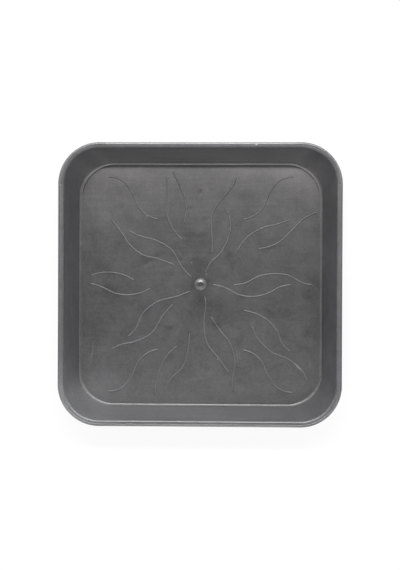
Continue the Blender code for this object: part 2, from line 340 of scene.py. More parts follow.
def rounded_square_rings(halves, radii, corner_steps, side_steps):
    """Rings of points, anticlockwise, one for each half width and corner radius.

    A corner's points are its arc's centre plus the radius at each angle, and a side's points run evenly
    from one arc's end to the next arc's start.
    """
    angles = np.arange(4)[:, None] * math.pi / 2 + np.linspace(0.0, math.pi / 2, corner_steps + 1)
    sides = np.array([(1, 1), (-1, 1), (-1, -1), (1, -1)], dtype=float)
    spokes = np.stack([np.cos(angles), np.sin(angles)], axis=-1)
    centres = (halves - radii)[:, None, None, None] * sides[None, :, None, :]
    corners = centres + radii[:, None, None, None] * spokes[None]
    starts, ends = corners[:, :, -1:, :], np.roll(corners, -1, axis=1)[:, :, :1, :]
    along = (np.arange(1, side_steps) / side_steps)[None, None, :, None]
    straights = starts + (ends - starts) * along
    return np.concatenate([corners, straights], axis=2).reshape(len(halves), -1, 2)


def with_heights(rings, heights):
    """Rings of points in plan, lifted to a height for each ring."""
    lifted = np.broadcast_to(np.asarray(heights)[:, None, None], rings.shape[:2] + (1,))
    return np.concatenate([rings, lifted], axis=-1)


def placed(name, data):
    """A new object in the scene."""
    obj = bpy.data.objects.new(name, data)
    bpy.context.scene.collection.objects.link(obj)
    return obj


def closed_surface(name, rings, first_pole, last_pole, material):
    """A closed mesh from rings of points.

    There is a quad between each two neighbours on each two rings, and a fan of triangles from each pole.
    If the signed volume is negative, every face is turned round.
    """
    rows, columns = rings.shape[:2]
    vertices = np.concatenate([rings.reshape(-1, 3), [first_pole, last_pole]])
    index = np.arange(rows * columns).reshape(rows, columns)
    beside = np.roll(index, -1, axis=1)
    quads = np.stack([index[:-1], beside[:-1], beside[1:], index[1:]], axis=-1).reshape(-1, 4)
    first = np.full(columns, rows * columns)
    fans = np.concatenate([
        np.stack([first, beside[0], index[0]], axis=-1),
        np.stack([first + 1, index[-1], beside[-1]], axis=-1),
    ])
    halves = np.concatenate([quads[:, [0, 1, 2]], quads[:, [0, 2, 3]], fans])
    a, b, c = (vertices[halves[:, k]] for k in range(3))
    if np.einsum("ij,ij->", a, np.cross(b, c)) < 0:
        quads, fans = quads[:, ::-1], fans[:, ::-1]
    corners = np.concatenate([quads.ravel(), fans.ravel()])
    starts = np.concatenate([np.arange(len(quads)) * 4, len(quads) * 4 + np.arange(len(fans)) * 3])
    mesh = bpy.data.meshes.new(name)
    mesh.vertices.add(len(vertices))
    mesh.vertices.foreach_set("co", vertices.astype(np.float32).ravel())
    mesh.loops.add(len(corners))
    mesh.loops.foreach_set("vertex_index", corners.astype(np.int32))
    mesh.polygons.add(len(starts))
    mesh.polygons.foreach_set("loop_start", starts.astype(np.int32))
    mesh.update(calc_edges=True)
    if mesh.validate():
        raise ValueError(f"the mesh of {name} was not sound")
    mesh.shade_smooth()
    mesh.materials.append(material)
    return placed(name, mesh)


def soft_waves(x, y, waves, shortest, longest, seed):
    """Sum of cosine waves, mostly within -1 to 1.

    Their directions, lengths and phases are drawn from a seed.
    """
    rng = np.random.default_rng(seed)
    heading = rng.uniform(0.0, 2 * math.pi, waves)
    pitch = rng.uniform(shortest, longest, waves)
    phase = rng.uniform(0.0, 2 * math.pi, waves)
    travel = x[..., None] * np.cos(heading) + y[..., None] * np.sin(heading)
    return np.cos(2 * math.pi * travel / pitch + phase).sum(axis=-1) / math.sqrt(waves)


def floor_rise(x, y, form):
    """Height of the moulded floor's surface over its nominal level.

    Soft waves fade out towards the wall, and a narrow sink line runs round over the foot's inner edge.
    """
    sizes = form.sizes
    reach = np.maximum(np.abs(x), np.abs(y))
    steepness = 6
    fade = np.clip(1 - (reach / form.level_half) ** steepness, 0.0, 1.0)
    waves = sizes.floor_wave * fade * soft_waves(
        x, y, waves=14, shortest=0.030, longest=0.090, seed=4)
    corner = form.corner_radius(form.foot_inner)
    inset_x = np.maximum(np.abs(x) - (form.foot_inner - corner), 0.0)
    inset_y = np.maximum(np.abs(y) - (form.foot_inner - corner), 0.0)
    inside = np.maximum(reach - form.foot_inner, np.hypot(inset_x, inset_y) - corner)
    return waves - sizes.sink_depth * np.exp(-((inside / sizes.sink_width) ** 2))


def drawn_in(points, form):
    """Shrinkage: each side bows in by a parabola along its length, in proportion to the height."""
    x, y, z = points[..., 0], points[..., 1], points[..., 2]
    pull = form.sizes.side_bow / OUTER_HALF * np.clip(z / TOTAL_HEIGHT, 0.0, 1.0)
    moved = points.copy()
    moved[..., 0] = x * (1 - pull * (1 - (y / OUTER_HALF) ** 2))
    moved[..., 1] = y * (1 - pull * (1 - (x / OUTER_HALF) ** 2))
    return moved


def tray_surface(sizes):
    """Rings of the tray's whole skin: floor, wall, rim, skirt, outer wall, foot and underside."""
    form = TrayForm(sizes)
    crease = sizes.crease_radius
    bead_inner = OUTER_HALF - sizes.bead_width
    crown_start = bead_inner + sizes.bead_rise
    skirt_inner = OUTER_HALF - sizes.skirt_thickness
    skirt_bottom = TOTAL_HEIGHT - sizes.skirt_depth
    skirt_middle = (TOTAL_HEIGHT + skirt_bottom) / 2
    recess = sizes.gate_recess_diameter / 2
    recess_top = sizes.panel_recess + sizes.gate_recess_depth
    inner = filled_legs(rounded_section([
        (form.level_half, FLOOR_TOP, 0.0),
        (form.wall_foot_half, FLOOR_TOP, sizes.wall_foot_fillet),
        (form.rim_inner_half, form.lip_top, sizes.rim_lip_radius),
        (bead_inner, form.lip_top, crease),
        (crown_start, TOTAL_HEIGHT, sizes.bead_inner_radius / 2),
        (crown_start + sizes.bead_crown_width, TOTAL_HEIGHT, sizes.bead_crown_radius),
        (OUTER_HALF, TOTAL_HEIGHT - sizes.bead_fall, sizes.bead_outer_radius),
        (OUTER_HALF, skirt_middle, 0.0),
    ], sizes.arc_steps), spacing=0.0015, guard=0.0002)
    outer = filled_legs(rounded_section([
        (OUTER_HALF, skirt_middle, 0.0),
        (OUTER_HALF, skirt_bottom, sizes.skirt_edge_radius),
        (skirt_inner, skirt_bottom, sizes.skirt_edge_radius),
        (skirt_inner, form.under_rim, sizes.under_rim_fillet),
        (form.outer_wall_half(form.under_rim), form.under_rim, crease),
        (form.foot_outer, 0.0, sizes.foot_edge_radius),
        (form.foot_inner, 0.0, crease),
        (form.foot_inner - sizes.panel_chamfer, sizes.panel_recess, crease),
        (recess, sizes.panel_recess, crease),
        (recess - crease, recess_top, crease / 2),
        (recess / 2, recess_top, 0.0),
    ], sizes.arc_steps), spacing=0.0040, guard=0.0002)
    floor_halves = form.level_half * np.arange(1, sizes.floor_rings) / sizes.floor_rings
    inner_halves = np.concatenate([floor_halves, inner[:, 0]])
    inner_heights = np.concatenate([np.full(len(floor_halves), FLOOR_TOP), inner[:, 1]])
    halves = np.concatenate([inner_halves, outer[1:, 0]])
    heights = np.concatenate([inner_heights, outer[1:, 1]])
    radii = np.concatenate([form.corner_radius(inner_halves), form.outer_corner_radius(outer[1:, 0])])
    plan = rounded_square_rings(halves, radii, sizes.corner_steps, sizes.side_steps)
    rings = with_heights(plan, heights)
    on_floor = np.arange(len(halves)) < len(floor_halves) + 1
    x, y = rings[on_floor, :, 0], rings[on_floor, :, 1]
    rings[on_floor, :, 2] += floor_rise(x, y, form)
    return drawn_in(rings, form), (0.0, 0.0, FLOOR_TOP), (0.0, 0.0, recess_top)


def boss_surface(sizes):
    """Rings of the gate boss: a ball's cap with a pit at its top and a nub in the pit, turned about Z.

    The cap's height at a radius is the ball's sagitta at the boss's edge less its sagitta there.
    """
    edge, pit, nub = sizes.diameter / 2, sizes.pit_diameter / 2, sizes.nub_diameter / 2
    ball = sizes.dome_radius

    def cap(radius):
        return math.sqrt(ball**2 - radius**2) - math.sqrt(ball**2 - edge**2)

    pit_bottom = cap(pit) - sizes.pit_depth
    dome_rings = 16
    dome_radii = np.linspace(edge - sizes.edge_fillet, pit + sizes.pit_edge_radius, dome_rings)
    dome = [(radius, cap(radius), 0.0) for radius in dome_radii]
    section = rounded_section([
        (edge / 2, -SEAT_GAP, 0.0),
        (edge + sizes.edge_fillet, -SEAT_GAP, 0.0),
        (edge + sizes.edge_fillet, -sizes.edge_fillet / 8, 0.0),
        *dome,
        (pit, cap(pit), sizes.pit_edge_radius / 2),
        (pit - sizes.pit_depth / 2, pit_bottom, sizes.pit_edge_radius),
        (nub, pit_bottom, sizes.pit_edge_radius / 2),
        (nub / 2, pit_bottom + sizes.nub_height, nub / 5),
        (nub / 8, pit_bottom + sizes.nub_height, 0.0),
    ], sizes.arc_steps)
    turn = np.linspace(0.0, 2 * math.pi, sizes.turn_steps, endpoint=False)
    circle = np.stack([np.cos(turn), np.sin(turn)], axis=-1)
    rings = section[:, 0, None, None] * circle[None]
    heights = FLOOR_TOP + section[:, 1]
    return with_heights(rings, heights), (0.0, 0.0, heights[0]), (0.0, 0.0, heights[-1])


def smooth_route(points, stations):
    """Positions and unit tangents along a smooth curve through the points.

    The curve is a cubic between each two points, with slopes taken from their neighbours.
    """
    points = np.array(points, dtype=float)
    lengths = np.linalg.norm(np.diff(points, axis=0), axis=1)
    along = np.concatenate(([0.0], np.cumsum(lengths)))
    slopes = np.gradient(points, along, axis=0, edge_order=2)
    places = stations * along[-1]
    piece = np.clip(np.searchsorted(along, places, side="right") - 1, 0, len(lengths) - 1)
    span = lengths[piece][:, None]
    t = (places - along[piece])[:, None] / span
    start, end = points[piece], points[piece + 1]
    start_slope, end_slope = slopes[piece] * span, slopes[piece + 1] * span
    spots = (2 * t**3 - 3 * t**2 + 1) * start + (t**3 - 2 * t**2 + t) * start_slope
    spots = spots + (3 * t**2 - 2 * t**3) * end + (t**3 - t**2) * end_slope
    tangents = (6 * t**2 - 6 * t) * start + (3 * t**2 - 4 * t + 1) * start_slope
    tangents = tangents + (6 * t - 6 * t**2) * end + (3 * t**2 - 2 * t) * end_slope
    return spots, tangents / np.linalg.norm(tangents, axis=1)[:, None]


def rib_surface(route, sizes, form):
    """Sections of one rib along its route.

    The section is half an ellipse with a fillet at the foot of each flank. Its width and height grow
    from the ends as a quarter of an ellipse, and it rides on the waves of the floor.
    """
    route = np.array(route, dtype=float) * form.wall_foot_half / PATTERN_UNITS
    run = float(np.linalg.norm(np.diff(route, axis=0), axis=1).sum())
    stations = np.linspace(0.0, 1.0, round(run / sizes.station_spacing))[1:-1]
    spots, tangents = smooth_route(route, stations)
    from_end = np.minimum(stations, 1 - stations) * run / sizes.end_taper
    growth = np.sqrt(1 - (1 - np.clip(from_end, 0.0, 1.0)) ** 2)
    base, fillet = sizes.width / 2, sizes.foot_fillet
    turn = np.linspace(0.0, math.pi, sizes.crown_steps + 1)[:, None]
    crown = np.concatenate([base * np.cos(turn), sizes.height * np.sin(turn)], axis=1)
    inner_end, rise_share = 0.2, 0.35
    feather = np.linspace(1.0, inner_end, sizes.fillet_steps)[:, None]
    foot_rise = sizes.height * rise_share * (1 - feather) ** 2
    foot = np.concatenate([base + fillet * feather, foot_rise], axis=1)
    steep = crown[:, 1] > foot[-1, 1]
    section = np.concatenate([foot, crown[steep], foot[::-1] * (-1, 1)])
    reach = base + fillet
    beneath = np.array([(-reach, -SEAT_GAP), (reach, -SEAT_GAP)])
    section = np.concatenate([section, beneath])
    across = np.stack([-tangents[:, 1], tangents[:, 0]], axis=-1)
    plan = spots[:, None, :] + across[:, None, :] * section[None, :, :1] * growth[:, None, None]
    rise = section[None, :, 1] * np.where(section[None, :, 1] > 0, growth[:, None], 1.0)
    lift = FLOOR_TOP - sizes.sunk + floor_rise(plan[..., 0], plan[..., 1], form)
    rings = np.concatenate([plan, (rise + lift)[..., None]], axis=-1)
    return rings, rings[0].mean(axis=0), rings[-1].mean(axis=0)


class Signal:
    """One output of a shader tree. Arithmetic on it adds the Math nodes that do it."""

    def __init__(self, shader, socket):
        self.shader = shader
        self.socket = socket

    def __add__(self, other):
        return self.shader.maths("ADD", self, other)

    def __sub__(self, other):
        return self.shader.maths("SUBTRACT", self, other)

    def __rsub__(self, other):
        return self.shader.maths("SUBTRACT", other, self)

    def __mul__(self, other):
        return self.shader.maths("MULTIPLY", self, other)

    def __truediv__(self, other):
        return self.shader.maths("DIVIDE", self, other)

    def __rtruediv__(self, other):
        return self.shader.maths("DIVIDE", other, self)

    __radd__ = __add__
    __rmul__ = __mul__


class Shader:
    """The node tree of a material or world."""

    def __init__(self, owner):
        owner.use_nodes = True
        self.tree = owner.node_tree
        self.tree.nodes.clear()

    def node(self, kind, settings=(), sockets=(), output=0):
        """Add a node: its settings first, then a value or a link for each named or numbered socket."""
        made = self.tree.nodes.new("ShaderNode" + kind)
        for key, value in dict(settings).items():
            setattr(made, key, value)
        for key, value in dict(sockets).items():
            if isinstance(value, Signal):
                self.tree.links.new(value.socket, made.inputs[key])
            else:
                made.inputs[key].default_value = value
        return Signal(self, made.outputs[output])

    def maths(self, operation, first, second=0.0):
        """A Math node on one or two values."""
        return self.node("Math", {"operation": operation}, {0: first, 1: second})

    def root(self, value):
        """The square root of the value."""
        return self.maths("SQRT", value)

    def size(self, value):
        """The value without its sign."""
        return self.maths("ABSOLUTE", value)

    def limited(self, value):
        """The value kept between 0 and 1."""
        return self.node("Clamp", sockets={0: value})

    def rise(self, value, low, high, start=0.0, end=1.0):
        """The start below low, the end above high, and a smooth step between them."""
        sockets = {"Value": value, 1: low, 2: high, 3: start, 4: end}
        return self.node("MapRange", {"interpolation_type": "SMOOTHSTEP", "clamp": False}, sockets)

    def fade(self, value, reach, strength):
        """The strength at 0, and a smooth step down to nothing at the reach."""
        return self.rise(value, 0.0, reach, strength, 0.0)

    def hump(self, value, middle, half_width):
        """1 at the middle and 0 from a half width away."""
        return self.fade(self.size(value - middle), half_width, 1.0)

    def parts(self, vector):
        """The x, y and z of a vector."""
        split = self.node("SeparateXYZ", sockets={0: vector})
        return [Signal(self, socket) for socket in split.socket.node.outputs]

    def stretched(self, vector, factors):
        """The vector with each of its parts multiplied by a factor."""
        return self.node("VectorMath", {"operation": "MULTIPLY"}, {0: vector, 1: factors})

    def product(self, vector, factors):
        """The sum of the vector's parts, each times a factor."""
        sockets = {0: vector, 1: tuple(factors)}
        return self.node("VectorMath", {"operation": "DOT_PRODUCT"}, sockets, output=1)

    def noise(self, vector, scale, detail=2.0, roughness=0.5):
        """Noise about 0, mostly within -1 to 1."""
        sockets = {"Vector": vector, "Scale": scale, "Detail": detail, "Roughness": roughness}
        return (self.node("TexNoise", {"noise_dimensions": "3D"}, sockets) - 0.5) * 4.0

    def mixed(self, factor, first, second):
        """A colour between two others."""
        return self.node("Mix", {"data_type": "RGBA"}, {0: factor, 6: first, 7: second}, output=2)

    def scaled(self, colour, factor):
        """A colour times a number."""
        return self.node("VectorMath", {"operation": "SCALE"}, {0: colour, "Scale": factor})

    def finish(self, kind, surface):
        """Add the tree's output."""
        made = self.tree.nodes.new("ShaderNodeOutput" + kind)
        self.tree.links.new(surface.socket, made.inputs["Surface"])


# Marks on floor and rim, with a few patches of painted highlight and shade on rim and walls, in
# millimetres and degrees: x, y, half length, half width, turn and change of tone. A patch fades from
# its middle outwards.
PATCHES = [
    (-112, -122, 62, 40, 0, 0.40),
    (-40, -128, 70, 24, 0, 0.14),
    (104, 122, 50, 28, -15, 0.44),
    (122, 96, 14, 30, 0, 0.14),
    (-95, 124, 60, 24, 0, 0.24),
    (45, 126, 50, 18, 0, 0.24),
    (-50, 126, 40, 16, 0, 0.08),
    (-108, -12, 50, 56, 0, -0.13),
    (126, -25, 24, 66, 0, -0.16),
    (8, -24, 38, 28, 0, -0.18),
    (-10, 42, 66, 56, 0, -0.10),
    (70, -16, 62, 42, 0, -0.08),
    (56, -102, 24, 14, 0, -0.11),
    (46, 97, 28, 11, 0, -0.19),
    (-51, 107, 8, 6, 0, -0.14),
    (0, 102, 4.2, 4.2, 0, -0.27),
    (-11, 84, 7, 3.6, 15, -0.24),
    (4, 72, 8, 4.5, 0, -0.16),
    (0, 54, 15, 4, 4, -0.10),
    (-49, 30, 30, 4, 30, -0.14),
    (-62, 27, 42, 7, 29, -0.08),
    (-86, 48, 11, 6, 35, -0.12),
    (-106, 18, 10, 18, 20, -0.11),
    (32, 32, 7, 6, 0, -0.11),
    (1, -17, 13, 7, 90, -0.16),
    (16, -29, 48, 26, -10, -0.08),
    (3, 20, 15, 12, 0, -0.11),
    (-34, -47, 8, 4, -10, -0.19),
    (-2, -69, 7, 5, 0, -0.16),
    (-31, -78, 8, 4, -30, -0.19),
    (-3, -84, 16, 10, 0, -0.08),
    (9, -91, 8, 7, 0, -0.16),
    (42, -64, 8, 5, 0, -0.16),
    (18, -44, 8, 6, 0, -0.11),
    (96, -32, 15, 10, 30, -0.14),
    (117, -54, 10, 12, 0, -0.10),
    (85, -88, 15, 3, 25, -0.14),
    (43, -106, 9, 6, 0, -0.14),
    (73, -52, 5, 5, 0, -0.14),
    (76, 40, 10, 2.6, 25, -0.16),
    (73, -28, 12, 3.6, -35, -0.14),
    (106, -38, 18, 2, 0, -0.09),
    (-99, -34, 20, 1.2, 90, -0.09),
    (45, -91, 16, 2.6, -15, -0.11),
    (38, -53, 7, 7, 0, 0.11),
    (57, -42, 4, 8, 0, 0.14),
    (-60, 20, 12, 3.4, 20, 0.12),
    (-88, 92, 14, 8, 0, 0.12),
    (-24, 35, 7, 4, -40, 0.14),
    (-118, -75, 15, 2.2, 83, 0.24),
    (119, -86, 12, 1.8, 95, 0.22),
    (-4, 16, 9, 0.6, -47, -0.30),
    (-2, 17.4, 8, 0.5, -47, -0.24),
    (40, -76, 20, 0.9, -84, 0.30),
    (43, -78, 14, 0.8, -82, 0.25),
    (139, -72, 17, 2.4, 90, 0.14),
    (136, -84, 9, 0.7, 88, 0.18),
    (-147, 104, 3.4, 0.7, 0, 0.60),
    (147, 105, 3.4, 0.7, 0, 0.60),
    (-147, 106.9, 3.4, 0.9, 0, -0.32),
    (147, 106.9, 3.4, 0.9, 0, -0.32),
    # Painted highlight on the rim where the back corners begin
    (-147, 119, 4, 14, 0, 0.16),
    (148, 118, 4, 14, 0, 0.16),
    (59.5, 147.6, 1.5, 1, 0, 4.50),
    (-58.5, 74.3, 1, 0.9, 0, 2.80),
    (-9.7, 23.8, 0.9, 0.9, 0, 1.40),
    (6.6, 11.2, 0.9, 0.8, 0, 1.80),
    (19, -81.4, 0.9, 0.9, 0, 2.40),
    (-94.2, 29.7, 0.8, 0.6, 0, 1.00),
    (106.3, -89.6, 9.5, 1.4, -42, 1.25),
    # Painted light and shade on the side walls and rim: lighter towards the front, darker towards the
    # back
    (-141, -102, 50, 13, 90, 0.26),
    (141, -104, 44, 13, 90, 0.12),
    (-141, 75, 52, 13, 90, -0.14),
    (141, 75, 50, 13, 90, -0.07),
    # Painted shade in the back corners
    (-130, 130, 26, 26, 0, -0.10),
    (130, 130, 26, 26, 0, -0.12),
    (88, -62, 9, 1.2, -60, 0.10),
    (-8, -104, 22, 1.6, 12, 0.07),
    (-70, -22, 16, 1.2, 60, 0.08),
]

# Rings that pots have left: x, y, half length, half width, turn, change of tone along the ring
RINGS = [
    (-35, -46, 13, 9, 0, 0.09),
    (0, -65, 13, 11, 0, -0.08),
    (39, 34, 12, 10, 20, -0.05),
    (52, 60, 26, 22, 0, 0.03),
    (0, 2, 31, 31, 0, 0.035),
    (2, 0, 46, 44, 0, -0.03),
]


# Half width of a ring's line, as a share of the ring's reach
RING_LINE = 0.16


class Border:
    """Where each zone of the skin begins and where it is whole, in millimetres."""

    # Height over the floor
    inside = (-0.5, -0.2)
    wall = (4.0, 12.0)
    ridge = (0.04, 0.15)
    rib_top = (0.12, 0.40)
    # Height over the rim's shelf
    lip = (-2.0, -1.3)
    edge_height = (-1.0, -0.5)
    rim = (-0.30, -0.04)
    over_lip = (-0.14, -0.02)
    bead = (0.08, 0.25)
    # Distance from the gate
    pit = (0.9, 1.3)
    off_pit = (2.3, 2.8)
    boss_edge = (4.3, 5.1)
    off_boss = (6.2, 7.0)
    ribs = (7.5, 8.5)
    # Distance from the square on which the corners' centres lie
    corner = (2.0, 10.0)
    off_floor = (32.5, 34.0)
    outer_edge = (42.8, 43.4)
    # Distance from the middle, to a side or to the back
    side = (118.0, 124.0)
    side_rubs = (85.0, 115.0)
    back_half = (0.0, 40.0)
    shaded_ribs = (30.0, 110.0)
    rib_lift_fade = (55.0, 115.0)
    dust = (30.0, 120.0)
    streaks = (-40.0, 110.0)
    even_floor = (-90.0, -10.0)
    dull_shaded_lip = (-132.0, -105.0)
    not_bright_lip = (-146.0, -140.0)
    # Differences and sums of x and y
    not_beside = (20.0, 50.0)
    not_front_left = (-275.0, -215.0)
    # Lean of a face to the front, from 0 to 1
    flank = (0.15, 0.60)


class Line:
    """Lines of painted highlight, shadow and shade along the foot of the wall: distance from the
    corners' square, and half width.
    """

    foot = (36.3, 0.8)
    back_shadow_line = (34.9, 1.1)
    side_fillet_shade = (38.1, 1.2)


class Tone:
    """Change of tone by each texture and zone, as a share of the plain plastic's."""

    clouds = 0.06
    blotches = 0.175
    speckle = 0.31
    front_mottle = 0.25
    streaks = 0.10
    fine_streaks = 0.115
    # Share of the streaks at the front, and what is added to it by the back
    front_streaks = 0.50
    back_streaks = 0.40
    wall_rubs_along_y = 0.19
    wall_rubs_along_x = 0.30
    floor_rubs = 0.09
    bloom = 0.16
    # Lighter rib tops, partly wear and partly painted highlight, less so towards the back
    rib = 0.72
    rib_lift_lost_at_back = 0.40
    # Painted highlight along the wall's foot fillet, the lip's painted shadow inside it, and painted
    # shade on the fillet at the sides
    foot_highlight_in_corner = 0.9
    foot_highlight_at_right = 0.45
    shadow_in_corner = 1.1
    shadow_at_back = 0.3
    shade_at_side = 0.30
    rim = 0.03
    rim_beside = 0.50
    lighter_front_left_rim = 0.35
    # Painted shade on the outer edge at the back, on the lip at the back and sides and on the shelf in
    # the back corners; painted highlight on the lip at the front and on the bead at the back and in the
    # back corners
    outer_edge = 0.8
    dull_shaded_lip = 0.52
    lip_highlight = 0.35
    corner_bead_highlight = 0.45
    corner_shelf_shade = 0.25
    back_bead_highlight = 1.6
    boss = 0.16
    # Painted shade in a ring round the pit in the boss's top
    pit = 0.70


class Dull:
    """Change of roughness by each texture and zone, and the least roughness."""

    clouds = 0.03
    rib = 0.15
    lip = 0.25
    boss_edge = 0.20
    bead = 0.03
    outer_edge = 0.15
    marks = 0.02
    least = 0.285


def oval_distance(shader, spot, mark):
    """Distance from the middle of an oval, as a share of its reach in that direction.

    The place along each of its axes is the product of one plane's factors with the spot, whose z is 1.
    """
    x, y, half_length, half_width, turn = mark[:5]
    cosine, sine = math.cos(math.radians(turn)), math.sin(math.radians(turn))
    lengthwise = np.array([cosine, sine, -x * cosine - y * sine]) / half_length
    widthwise = np.array([-sine, cosine, x * sine - y * cosine]) / half_width
    along, across = shader.product(spot, lengthwise), shader.product(spot, widthwise)
    return shader.root(along * along + across * across)


def floor_marks_and_shading(shader, place, fray):
    """Change of tone from the patches and rings: marks, with a few patches of painted highlight and
    shade.

    Noise moves their outlines by about a fray, in millimetres.
    """
    sockets = {"Vector": place, "Scale": 90.0, "Detail": 5.0, "Roughness": 0.7}
    uneven = shader.node("TexNoise", {}, sockets, output=1)
    spot = shader.node("VectorMath", {"operation": "MULTIPLY_ADD"}, {
        0: place, 1: (1000.0, 1000.0, 0.0), 2: (-fray * 2, -fray * 2, 1.0)})
    spot = shader.node("VectorMath", {"operation": "MULTIPLY_ADD"}, {
        0: uneven, 1: (fray * 4, fray * 4, 0.0), 2: spot})
    tone = 0.0
    for mark in PATCHES:
        tone = tone + shader.fade(oval_distance(shader, spot, mark), 1.0, mark[5])
    for mark in RINGS:
        off_ring = shader.size(oval_distance(shader, spot, mark) - 1.0)
        tone = tone + shader.fade(off_ring, RING_LINE, mark[5])
    return tone


def beyond_square(shader, x, y, half):
    """How far a point lies beyond a square of this half width: along x, along y and straight."""
    beyond_x, beyond_y = (
        shader.maths("MAXIMUM", shader.size(along) - half, 0.0) for along in (x, y))
    return beyond_x, beyond_y, shader.root(beyond_x * beyond_x + beyond_y * beyond_y)


class Zones:
    """Zones of the skin, each 1 inside it and 0 outside, with soft borders.

    Beside means to the left and right, between the saucer's diagonals.
    """

    def __init__(self, shader, place):
        rise = shader.rise
        x, y, z = shader.parts(shader.stretched(place, (1000.0, 1000.0, 1000.0)))
        self.x, self.y = x, y
        over_floor, over_shelf = z - FLOOR_TOP * 1000, z - SHELF_TOP * 1000
        self.from_gate = shader.root(x * x + y * y)
        beyond_x, beyond_y, self.to_wall = beyond_square(shader, x, y, FLOOR_CORNER_CENTRE)
        to_edge = beyond_square(shader, x, y, RIM_CORNER_CENTRE)[2]

        self.inside = rise(over_floor, *Border.inside)
        self.floor = self.inside * (1.0 - rise(over_floor, *Border.wall))
        self.wall = self.inside * (1.0 - self.floor)
        in_corner = rise(beyond_x, *Border.corner) * rise(beyond_y, *Border.corner)
        self.back_corner = in_corner * rise(y, *Border.back_half)
        self.back_side = rise(y, *Border.side) * (1.0 - in_corner)
        self.right_side = rise(x, *Border.side) * (1.0 - in_corner)
        self.either_side = rise(shader.size(x), *Border.side) * (1.0 - in_corner)
        self.beside = 1.0 - rise(shader.size(y) - shader.size(x), *Border.not_beside)

        near_ribs = (1.0 - rise(self.to_wall, *Border.off_floor)) * rise(self.from_gate, *Border.ribs)
        self.rib = rise(over_floor, *Border.rib_top) * near_ribs
        facing = shader.parts(shader.node("NewGeometry", output="Normal"))[1]
        shaded = rise(0.0 - facing, *Border.flank) * rise(y, *Border.shaded_ribs)
        self.shaded_flank = rise(over_floor, *Border.ridge) * near_ribs * shaded

        self.off_boss = rise(self.from_gate, *Border.off_boss)
        self.boss = self.inside * (1.0 - self.off_boss)
        self.boss_edge = self.boss * rise(self.from_gate, *Border.boss_edge)
        off_pit = rise(self.from_gate, *Border.off_pit)
        # Ring round the pit, for painted shade
        self.pit = rise(self.from_gate, *Border.pit) * (1.0 - off_pit) * self.inside

        self.rim = rise(over_shelf, *Border.rim)
        self.bead = rise(over_shelf, *Border.bead)
        self.lighter_front_left_rim = self.rim * (1.0 - rise(x + y, *Border.not_front_left))
        # Zones for painted shade on the outer edge at the back and on the lip at the back and sides, and
        # for a painted highlight on the lip at the front
        at_back = (self.back_side + self.back_corner) * rise(over_shelf, *Border.edge_height)
        self.outer_edge = rise(to_edge, *Border.outer_edge) * at_back
        lip = rise(over_shelf, *Border.lip) * (1.0 - rise(over_shelf, *Border.over_lip))
        self.dull_shaded_lip = lip * rise(y, *Border.dull_shaded_lip)
        self.lip_highlight = lip * (1.0 - rise(y, *Border.not_bright_lip))


def painted_wall_foot_lines(shader, zones):
    """Change of tone by painted lines along the foot of the wall: a painted highlight on the fillet in
    the back corners and at the right, the lip's painted shadow just inside it at the back and in the
    back corners, and painted shade on the fillet at the sides.
    """
    # Painted highlight on the fillet in the back corners and at the right, and the lip's painted shadow
    # just inside it at the back
    foot = zones.back_corner * Tone.foot_highlight_in_corner + zones.right_side * Tone.foot_highlight_at_right
    foot_shadow = zones.back_corner * Tone.shadow_in_corner + zones.back_side * Tone.shadow_at_back
    lines = shader.hump(zones.to_wall, *Line.foot) * foot * zones.floor
    lines = lines - shader.hump(zones.to_wall, *Line.back_shadow_line) * foot_shadow * zones.floor
    # Painted shade on the fillet at the left and right
    side_fillet_shade = shader.hump(zones.to_wall, *Line.side_fillet_shade) * zones.either_side
    return lines - side_fillet_shade * Tone.shade_at_side


def rim_tone(zones):
    """Change of tone over the rim: lighter at the sides and the front left; painted shade on the outer
    edge at the back, on the lip at the back and sides and on the shelf in the back corners; painted
    highlight on the lip at the front and on the bead at the back and in the back corners.
    """
    tone = zones.rim * (zones.beside * Tone.rim_beside + Tone.rim)
    # Painted shade on the outer edge at the back
    tone = tone - zones.outer_edge * Tone.outer_edge + zones.lighter_front_left_rim * Tone.lighter_front_left_rim
    # Painted shade on the lip at the back and sides, painted highlight on the lip at the front
    tone = tone - zones.dull_shaded_lip * Tone.dull_shaded_lip + zones.lip_highlight * Tone.lip_highlight
    shelf = zones.rim - zones.bead
    # Painted highlight on the bead and painted shade on the shelf in the back corners
    tone = tone + zones.back_corner * (zones.bead * Tone.corner_bead_highlight - shelf * Tone.corner_shelf_shade)
    # Painted highlight on the bead at the back
    return tone + zones.back_side * zones.bead * Tone.back_bead_highlight


def streaks_and_rubs(shader, place, zones):
    """Change of tone by flow streaks over the floor and by rubs along the sides."""
    def drawn_out(stretch, detail, roughness=0.5):
        return shader.noise(shader.stretched(place, stretch), 1.0, detail, roughness)

    streaks = drawn_out((14.0, 420.0, 90.0), 3.0, 0.6) * Tone.streaks
    fine_streaks = drawn_out((30.0, 1300.0, 90.0), 2.0) * Tone.fine_streaks
    to_back = shader.rise(zones.y, *Border.streaks) * Tone.back_streaks + Tone.front_streaks
    streaked = (streaks + fine_streaks) * to_back * zones.floor
    along_y = drawn_out((900.0, 16.0, 300.0), 3.0, 0.7) * zones.beside
    along_x = drawn_out((16.0, 900.0, 300.0), 3.0, 0.7) * (1.0 - zones.beside)
    on_wall = (along_y * Tone.wall_rubs_along_y + along_x * Tone.wall_rubs_along_x) * zones.wall
    near_side = shader.rise(shader.size(zones.x), *Border.side_rubs) * Tone.floor_rubs
    return streaked + on_wall + along_y * zones.floor * near_side


def gate_bloom(shader, zones, blotches):
    """Darker ring round the gate, with an uneven outline."""
    start, reach, fray = 5.0, 14.0, 0.6
    past_start = shader.maths("MAXIMUM", zones.from_gate + blotches * fray - start, 0.0)
    return shader.fade(past_start, reach, Tone.bloom) * zones.off_boss


